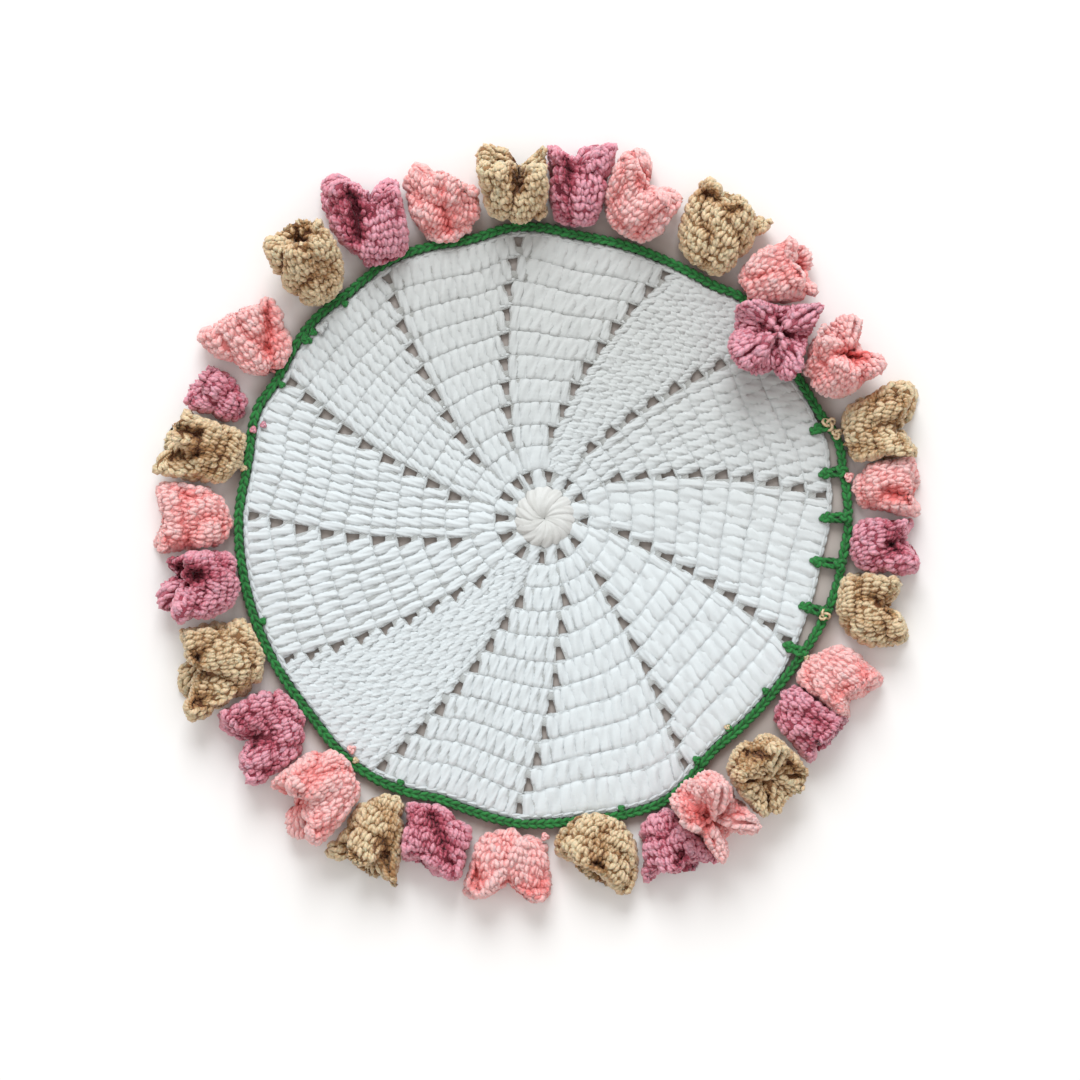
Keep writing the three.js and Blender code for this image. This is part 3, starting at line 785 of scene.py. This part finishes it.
def bent_smooth(rows, passes):
    """The line through the rows with its corners cut off, once in each pass."""
    line = np.array(rows, float)
    for _ in range(passes):
        cut = np.empty((2 * len(line) - 2, line.shape[1]))
        cut[0::2] = 0.75 * line[:-1] + 0.25 * line[1:]
        cut[1::2] = 0.25 * line[:-1] + 0.75 * line[1:]
        line = np.vstack([line[:1], cut, line[-1:]])
    return line


TULIP_PROFILE = bent_smooth(TULIP_ROUNDS, passes=2)
TULIP_PROFILE /= TULIP_PROFILE.max(axis=0)


def stance_of(tulip):
    """Where a tulip's foot and middle are, and which way its axis, its width and its thickness lie."""
    axis = direction(tulip["bearing"] + tulip["swing"], tulip["lift"])
    across = direction(tulip["bearing"] + tulip["swing"] + 90, 0)
    up = np.cross(axis, across)
    foot_radius = cord_radius_at(tulip["bearing"]) + CORD_RADIUS + GAP - tulip["over"]
    foot_height = FLOWER_FOOT_HEIGHT + (OVER_CORD if tulip["over"] > 0 else 0)
    foot = np.array([*on_plan(tulip["bearing"], foot_radius), foot_height])
    return {"axis": axis, "across": across, "up": up, "foot": foot,
            "middle": foot + axis * FLOWER_MIDDLE * tulip["length"]}


def pressed(distance, least, depth):
    """Distances less than depth are eased off, so that none comes below least."""
    room = depth - least
    eased = least + room * np.exp(np.minimum(0, distance - depth) / room)
    return np.where(distance >= depth, distance, eased)


def outside_cord(points):
    """How far points lie outside the cord, and their bearings."""
    off = points[..., :2] - RING_CENTRE
    bearing = np.degrees(np.arctan2(off[..., 1], off[..., 0]))
    return np.hypot(off[..., 0], off[..., 1]) - cord_radius_at(bearing) - CORD_RADIUS - GAP, bearing


def rest_under(tulip, points):
    return np.where((tulip["over"] > 0) & (outside_cord(points)[0] < 0), OVER_CORD, 0.0)


def free_petal(tulip, stance, along, share, turn):
    """Points of the skin as it would be alone: along the tulip, at a share of its width, round by turn."""
    between = (0.5 - 0.5 * np.cos(4 * (turn - math.radians(tulip["roll"])))) ** LOBE_ROUNDNESS
    folded = between * along ** TAPER_TO_FOOT
    radius = 0.5 * tulip["width"] * share * (1 - tulip["pinch"] * folded)
    reach = tulip["length"] * (along - NOTCH_DEPTH * tulip["pinch"] * folded * share)
    return (stance["foot"] + stance["axis"] * reach[..., None]
            + stance["across"] * (radius * np.cos(turn))[..., None]
            + stance["up"] * (radius * np.sin(turn) * tulip["flatness"])[..., None])


def press_against(points, own, other):
    """Keeps a tulip on its own side of the plane midway to its neighbour."""
    away = unit((own["middle"] - other["middle"]) * [1, 1, 0])
    distance = (points - 0.5 * (own["middle"] + other["middle"])) @ away
    return points + away * (pressed(distance, GAP / 2, PRESS_DEPTH) - distance)[..., None]


def clear_of_cord(points):
    """Points inside the cord are lifted over it or moved out of it, whichever is less."""
    outside, bearing = outside_cord(points)
    above = points[..., 2] - OVER_CORD
    inside = (outside < 0) & (above < 0)
    lifted = points * [1, 1, 0] + [0, 0, OVER_CORD]
    out = on_plan(bearing, cord_radius_at(bearing) + CORD_RADIUS + GAP)
    moved = np.concatenate([out, points[..., 2:]], axis=-1)
    choice = np.where((above > outside)[..., None], lifted, moved)
    return np.where(inside[..., None], choice, points)


def laid_petal(tulip, own, others, lowest, along, share, turn):
    """Points of the skin as it lies: on the table, against its neighbours and clear of the cord."""
    points = free_petal(tulip, own, along, share, turn)
    rest = rest_under(tulip, points)
    points = points.copy()
    points[..., 2] = pressed(points[..., 2], rest, rest + FLOOR_PRESS_DEPTH) - lowest
    for other in others:
        points = press_against(points, own, other)
    return clear_of_cord(points)


def lowest_of(tulip, own):
    """How far above its rest the lowest point of a tulip would hang."""
    along, share = np.array(TULIP_ROUNDS).T
    turn = math.radians(tulip["roll"]) + 2 * np.pi * np.arange(16) / 16
    rows = np.broadcast_arrays(along[:, None], share[:, None], turn)
    points = free_petal(tulip, own, *rows)
    rest = rest_under(tulip, points)
    return float(np.min(pressed(points[..., 2], rest, rest + FLOOR_PRESS_DEPTH) - rest))


PIXEL = 0.3
RING_PIXEL_X, RING_PIXEL_Y = 545, 512
UPWARD_SHARE = 1.6  # a fold is at its full depth where the skin faces upward by 1 / 1.6 or more
CREASES = [  # tulip, the photo pixels a fold runs from and to, its half width and depth in mm (ridge below 0)
    (2, 910, 396, 900, 442, 2, 2), (3, 842, 358, 864, 358, 1.8, 6), (5, 794, 268, 798, 276, 2.2, 4),
    (7, 640, 181, 668, 175, 2, 5), (8, 569, 150, 569, 222, 1.5, 2.5), (9, 512, 155, 518, 192, 2, 6),
    (9, 518, 149, 524, 151, 2.5, -2), (11, 352, 190, 361, 240, 1.9, 5.5),
    (12, 299, 241, 302, 246, 2.1, 6.5), (13, 270, 300, 268, 352, 1.6, 3), (17, 176, 568, 200, 575, 2.4, 6),
    (18, 172, 652, 200, 657, 2.4, 3.5), (18, 184, 703, 215, 694, 2.2, 2.5),
    (19, 232, 745, 256, 742, 1.9, 6), (20, 286, 800, 294, 802, 3.2, 5), (20, 268, 815, 300, 790, 1.4, 2),
    (21, 352, 850, 366, 880, 1.8, 4), (21, 385, 838, 390, 875, 1.8, 3), (22, 430, 810, 452, 862, 1.7, 3.5),
    (23, 524, 841, 482, 891, 2.5, -2), (23, 519, 887, 523, 889, 1.8, 4), (23, 470, 860, 478, 885, 2, 4.5),
    (24, 598, 862, 608, 896, 1.9, 4.5), (25, 680, 850, 690, 882, 1.8, 3), (26, 686, 817, 702, 817, 1.5, 4),
    (27, 745, 752, 762, 752, 1.5, 4), (30, 868, 596, 898, 612, 1.8, 3), (31, 888, 545, 912, 548, 1.6, 4),
    (1, 884, 490, 916, 500, 1.7, 3), (10, 440, 190, 448, 232, 1.7, 2), (6, 705, 196, 735, 212, 1.8, 3),
    (15, 170, 425, 200, 435, 1.8, 4), (15, 163, 458, 200, 455, 1.7, 3.5), (16, 185, 490, 190, 548, 1.6, 2),
]


def in_plan(pixel_x, pixel_y):
    """The point of the table that lies under a pixel of the photograph."""
    return np.array([(pixel_x - RING_PIXEL_X) * PIXEL, (RING_PIXEL_Y - pixel_y) * PIXEL])


def crease_of(number, points, way):
    """How far the skin of a tulip sinks at points into the folds seen from above."""
    sunk = np.zeros(points.shape[:-1])
    upward = np.clip(UPWARD_SHARE * way[..., 2], 0, 1)
    for flower, x0, y0, x1, y1, width, depth in CREASES:
        if flower != number:
            continue
        start = in_plan(x0, y0)
        run = in_plan(x1, y1) - start
        off = points[..., :2] - start
        s = np.clip((off @ run) / (run @ run), 0, 1)
        distance = np.linalg.norm(off - s[..., None] * run, axis=-1)
        sunk += depth * np.exp(-(distance / width) ** 2) * upward
    return sunk


PUFF_SEED, PUFF_WAVES, PUFF_HEIGHT = 100, 6, 1.5


def puffs(points, number, length):
    """Rounded puffs of a crumpled cup, about length across: 0 in the folds between them, up to 1."""
    own = np.random.default_rng(PUFF_SEED + number)
    total = np.zeros(points.shape[:-1])
    for _ in range(PUFF_WAVES):
        way = own.normal(size=3)
        way *= np.pi / (np.linalg.norm(way) * length * (0.75 + 0.5 * own.random()))
        total += np.sin(points @ way + 2 * np.pi * own.random())
    return np.minimum(1, np.abs(total / PUFF_HEIGHT) ** 0.7)


PUFF_LENGTH = 9.0
PUFF_DEPTH = 2.2
PUFF_MIDDLE = 0.75  # the share of their height at which the puffs neither stand out nor sink in
FINE_DOWN, FINE_ROUND = 120, 96
OPENS_AT, OPENS_OVER = 30, 22  # a tulip shows its open mouth from this lift on, fully this much further
SLIT_HALF_WIDTH = 0.7
SLIT_DEPTH = 2.8
SLIT_DEEP = ([0.10, 0.17, 0.25, 0.33], [0, 0.8, 1, 0])  # down the skin, and its share of the depth there
ARM_PUFF = 3.9
ARM_HIGH = ([0.0, 0.06, 0.25, 0.46], [0.1, 1, 1, 0])
SKIN_LEAST_HEIGHT = 0.6
STITCH_PITCH = 2.6
LIP_FROM, LIP_TO = 0.15, 0.33
LIP_OFFSET = 1.3
LIP_STITCH = 2.1
LIP_CLEARANCE, LIP_CLEAR_TO = 0.5, 0.31
LEG_STEPS = 5
LEG_OPEN, LEG_CLOSE = 0.25, 0.17  # half the V of a stitch by its pitch, and how much it narrows to its foot
LEG_REACH = 0.56  # half a leg's length by the height of its round
LEG_SHIFT, LEG_SWAY = 0.4, 1.3


class Cup:
    """One tulip's skin: where a point of it lies, and which way is out of it."""

    def __init__(self, number, tulip, before, after):
        self.number, self.tulip = number, tulip
        self.own = stance_of(tulip)
        self.others = [stance_of(before), stance_of(after)]
        self.lowest = lowest_of(tulip, self.own)
        self.roll = math.radians(tulip["roll"])
        self.open = float(np.clip((tulip["lift"] - OPENS_AT) / OPENS_OVER, 0, 1))
        self.rows = np.linspace(0, 1, len(TULIP_PROFILE))
        self.fine_t = np.linspace(0, 1, FINE_DOWN + 1)
        self.fine_turn = self.roll + 2 * np.pi * np.arange(FINE_ROUND + 1) / FINE_ROUND
        grid = self.skin(*np.meshgrid(self.fine_t, self.fine_turn, indexing="ij"))
        lengths = np.linalg.norm(np.diff(grid[:, :-1], axis=0), axis=2)
        lengths = (1 - self.open) * lengths.mean(axis=1) + self.open * lengths.max(axis=1)
        self.down = np.append(0, np.cumsum(lengths))
        self.round_steps = np.linalg.norm(np.diff(grid, axis=1), axis=2)

    def skin(self, t, turn):
        along = np.interp(t, self.rows, TULIP_PROFILE[:, 0])
        share = np.interp(t, self.rows, TULIP_PROFILE[:, 1])
        return laid_petal(self.tulip, self.own, self.others, self.lowest, along, share, turn)

    def outward(self, t, turn):
        near = np.clip(t, 0.012, 0.988)
        down = self.skin(near + 0.01, turn) - self.skin(near - 0.01, turn)
        round_ = self.skin(near, turn + 0.06) - self.skin(near, turn - 0.06)
        return unit(np.cross(down, round_))

    def from_slit(self, t, turn):
        """Distance in millimetres to the nearest fold of the mouth, which runs out along each lobe."""
        share = np.interp(t, self.rows, TULIP_PROFILE[:, 1])
        off = np.mod(turn - self.roll + np.pi / 4, np.pi / 2) - np.pi / 4
        return np.abs(np.sin(off)) * 0.5 * self.tulip["width"] * share

    def placed(self, t, turn, out_by):
        """Points out_by millimetres outside the crumpled and folded skin, and how much painted shade they
        get: more in folds and slits, less on puffs and arms.
        """
        points, way = self.skin(t, turn), self.outward(t, turn)
        bumps = PUFF_DEPTH * (puffs(points, self.number, PUFF_LENGTH) - PUFF_MIDDLE)
        deep, high = np.interp(t, *SLIT_DEEP), np.interp(t, *ARM_HIGH)
        slit_width = SLIT_HALF_WIDTH * (0.5 + deep)
        slit = self.open * SLIT_DEPTH * deep * np.exp(-(self.from_slit(t, turn) / slit_width) ** 2)
        arm = ARM_PUFF * self.tulip["pinch"] * high * np.cos(4 * (turn - self.roll))
        points = points + way * (out_by + bumps + arm - slit)[..., None]
        folded = crease_of(self.number, points, way)
        points[..., 2] = np.maximum(points[..., 2] - folded, SKIN_LEAST_HEIGHT)
        return points, way, folded + 0.6 * slit - bumps - 0.8 * arm


def cup_stitches(cup):
    """Places of the legs of the single crochet, V upon V in rounds from the mouth down to the foot."""
    s = np.linspace(-1, 1, LEG_STEPS)
    rounds = max(4, round(cup.down[-1] / STITCH_PITCH))
    height = cup.down[-1] / rounds
    lines_t, lines_turn, sizes = [], [], []
    for k in range(rounds):
        t = np.interp((k + 0.5) * height, cup.down, cup.fine_t)
        girth_steps = cup.round_steps[int(round(t * FINE_DOWN))]
        girth = np.append(0, np.cumsum(girth_steps))
        count = max(3, round(girth[-1] / STITCH_PITCH))
        pitch = girth[-1] / count
        places = (np.arange(count) + 0.5 * (k % 2) + 0.5 * chance.random(count)) / count
        turn = np.interp(np.mod(places, 1) * girth[-1], girth, cup.fine_turn)
        turn_per_mm = np.minimum(2 * np.pi / FINE_ROUND / np.maximum(girth_steps, 0.05), 0.6)
        turn_per_mm = np.interp(turn, cup.fine_turn[:-1], turn_per_mm)
        shift = jitter(LEG_SHIFT, count)
        off_lip = (cup.from_slit(t, turn) > LIP_OFFSET + LIP_CLEARANCE) | (cup.open == 0)
        keep = off_lip | (t > LIP_CLEAR_TO) | (t < LIP_FROM)
        for leg in (-1, 1):
            sway = jitter(LEG_SWAY, count)
            sideways = leg * pitch * (LEG_OPEN - LEG_CLOSE * s[None]) + sway[:, None] * s[None]
            here = (k + 0.5 + shift[:, None] + LEG_REACH * s[None]) * height
            lines_t.append(np.interp(np.clip(here, 0, cup.down[-1]), cup.down, cup.fine_t)[keep])
            lines_turn.append((turn[:, None] + sideways * turn_per_mm[:, None])[keep])
            sizes.append(np.full(int(keep.sum()), min(1.0, pitch / STITCH_PITCH)))
    return np.concatenate(lines_t), np.concatenate(lines_turn), np.concatenate(sizes)


def lip_stitches(cup):
    """Places of the two chains of stitches that lie along each fold of the mouth."""
    s = np.linspace(-1, 1, LEG_STEPS)
    lip_start, lip_end = np.interp([LIP_FROM, LIP_TO], cup.fine_t, cup.down)
    count = max(2, round((lip_end - lip_start) / LIP_STITCH)) if cup.open > 0 else 0
    middles = lip_start + (np.arange(count) + 0.5) * (lip_end - lip_start) / max(count, 1)
    lines_t, lines_turn = [], []
    for lobe in range(4):
        for side in (-1, 1):
            here = middles[:, None] + 0.72 * LIP_STITCH * s[None]
            t = np.interp(np.clip(here, 0.15, None), cup.down, cup.fine_t)
            radius = 0.5 * cup.tulip["width"] * np.interp(t, cup.rows, TULIP_PROFILE[:, 1])
            offset = np.minimum(LIP_OFFSET / np.maximum(radius, 0.1), 0.62) * (1 - 0.22 * s[None])
            lines_t.append(t)
            lines_turn.append(cup.roll + lobe * np.pi / 2 + side * offset)
    return np.concatenate(lines_t), np.concatenate(lines_turn), np.ones(8 * count)


FOOT_TAILS = [  # tulip, photo pixels across and down, height and size in mm: the knotted ends of its yarn
    (2, 828, 424, 3.8, 5.0), (2, 836, 434, 3.6, 4.0), (1, 848, 477, 3.2, 3.6), (30, 824, 615, 3.4, 4.2),
    (29, 812, 662, 3.2, 3.0), (30, 806, 657, 3.4, 2.2), (27, 727, 727, 2.8, 2.2), (23, 545, 836, 3.2, 3.0),
    (20, 352, 749, 2.8, 3.2), (21, 356, 760, 2.8, 2.4), (18, 262, 657, 2.8, 3.0), (15, 244, 468, 2.8, 2.8),
    (14, 264, 425, 2.7, 2.4), (14, 254, 430, 3.4, 2.6),
]
TAIL_YARN = 0.5
STITCH_INSET = 0.7
SHELL_INSET = 0.72
SHELL_SHADE_LEVELS = {"pink": 0.52, "mauve": 0.32, "tan": 0.28}  # how pale the painted shade in the pinholes between the stitches is, on the shell under them
SHELL_ROWS = 28
SHELL_ENDS = (0.004, 0.996)
LEG_HALF_WIDTH = 0.92
LEG_END, LEG_BELLY = 0.45, 0.55
LEG_DIP = 0.5
LEG_PROUD, LEG_SWELL = 0.4, 0.3


def make_tulip(number, tulip, before, after):
    """The crochet of one tulip: a shell, the stitches over it and the ends of its yarn."""
    cup = Cup(number, tulip, before, after)
    t, turn, size = (np.concatenate(both) for both in zip(cup_stitches(cup), lip_stitches(cup)))
    s = np.linspace(-1, 1, LEG_STEPS)
    proud = jitter(LEG_PROUD, (len(t), 1))
    lines, way, folded = cup.placed(t, turn, -STITCH_INSET - LEG_DIP * s ** 2 + proud)
    swell = (LEG_END + LEG_BELLY * (1 - s ** 2) ** 0.6) * (1 + jitter(LEG_SWELL, (len(t), 1)))
    thick = LEG_HALF_WIDTH * size[:, None] * swell
    # Painted light and shade: a stitch is lighter in its middle and where it stands proud, and darker in the
    # folds.
    level = 0.54 + 0.14 * (1 - s ** 2) + 0.4 * proud - 0.18 * folded
    stitches = strands(lines, thick, thick, way, level, corners=4, plies=1.1, painted_relief=0.2)
    shell_rows = np.linspace(*SHELL_ENDS, SHELL_ROWS)
    shell_t, shell_turn = np.meshgrid(shell_rows, cup.fine_turn[:-1:2], indexing="ij")
    shell, _, shell_fold = cup.placed(shell_t, shell_turn, -SHELL_INSET)
    # Painted shade on the shell: the pinholes, and more in the folds.
    shell_level = np.clip(SHELL_SHADE_LEVELS[tulip["yarn"]] - 0.14 * shell_fold, 0, 1)
    inner = plain_bundle(shell.reshape(-1, 3), quads_of(shell_t.shape).reshape(-1, 4), shell_level.ravel())
    tails = [
        knot(in_plan(x, y), height, size, TAIL_YARN)
        for flower, x, y, height, size in FOOT_TAILS if flower == number
    ]
    node = f"flower_{number:02d}"
    piece = make_piece(f"{node}_crochet", [inner, stitches, *tails], FLOWER_YARNS[tulip["yarn"]])
    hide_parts(node)


for k, tulip in enumerate(TULIPS):
    make_tulip(k + 1, tulip, TULIPS[k - 1], TULIPS[(k + 1) % len(TULIPS)])

# The table top is plain pale paper, with painted shade, warm grey, under the coaster. It is lit by one wide
# soft window beyond the top of the picture and by the bright room. The camera looks straight down through a
# long lens.
PHOTO_SIDE = 1080
CAMERA_HEIGHT = 1200.0
SENSOR = 36.0
TABLE_SIDE = 4000.0
WINDOW_SIDE = 1600.0
WINDOW_DISTANCE = 3000.0
WINDOW_BEARING, WINDOW_LIFT = 95.0, 40.0
SHADE_FROM, SHADE_TO = 92.0, 99.0  # the painted shade under the coaster fades out between these distances from the ring's centre

table = bpy.data.meshes.new("table_top")
h = TABLE_SIDE / 2 * MM
table.from_pydata([(-h, -h, 0), (h, -h, 0), (h, h, 0), (-h, h, 0)], [], [(0, 1, 2, 3)])
table_top = put_in_scene("table_top", table)
paper, paper_shader = new_material("pale_paper")
paper_place = add_node(paper, "TexCoord").outputs["Object"]
from_ring = add_node(paper, "VectorMath", {0: paper_place, 1: (*(RING_CENTRE * MM), 0)},
                     operation="DISTANCE")
# Painted shade: the paper is warm grey within the coaster's outline and pale beyond it.
shaded_paper_colour = blended(paper, from_ring.outputs["Value"], SHADE_FROM * MM, SHADE_TO * MM,
                       ((0.44, 0.39, 0.36, 1), (0.86, 0.852, 0.845, 1)), "MIX")
paper_grain = add_node(paper, "TexNoise", {"Scale": 900.0})
paper_bump = add_node(paper, "Bump",
                      {"Strength": 0.1, "Distance": 0.1 * MM, "Height": paper_grain.outputs["Fac"]})
set_inputs(paper, paper_shader,
           {"Roughness": 0.9, "Base Color": shaded_paper_colour, "Normal": paper_bump.outputs["Normal"]})
table.materials.append(paper)

room = bpy.data.worlds.new("bright_room")
room.use_nodes = True
set_inputs(room, room.node_tree.nodes["Background"], {"Color": (1.0, 0.975, 0.95, 1), "Strength": 0.78})
bpy.context.scene.world = room

window_light = bpy.data.lights.new("window", "AREA")
window_light.shape = "SQUARE"
window_light.size = WINDOW_SIDE * MM
window_light.energy = 78.0
window_light.color = (0.95, 0.98, 1.0)
window = put_in_scene("window", window_light)
window.location = direction(WINDOW_BEARING, WINDOW_LIFT) * WINDOW_DISTANCE * MM
window.rotation_euler = (math.radians(90 - WINDOW_LIFT), 0, math.radians(WINDOW_BEARING + 90))

lens = bpy.data.cameras.new("camera")
lens.sensor_width = SENSOR
lens.lens = SENSOR * CAMERA_HEIGHT / (PHOTO_SIDE * PIXEL)
lens.clip_end = 10
camera = put_in_scene("camera", lens)
camera.location = (*(in_plan(PHOTO_SIDE / 2, PHOTO_SIDE / 2) * MM), CAMERA_HEIGHT * MM)
bpy.context.scene.camera = camera
bpy.context.scene.view_settings.view_transform = "Standard"
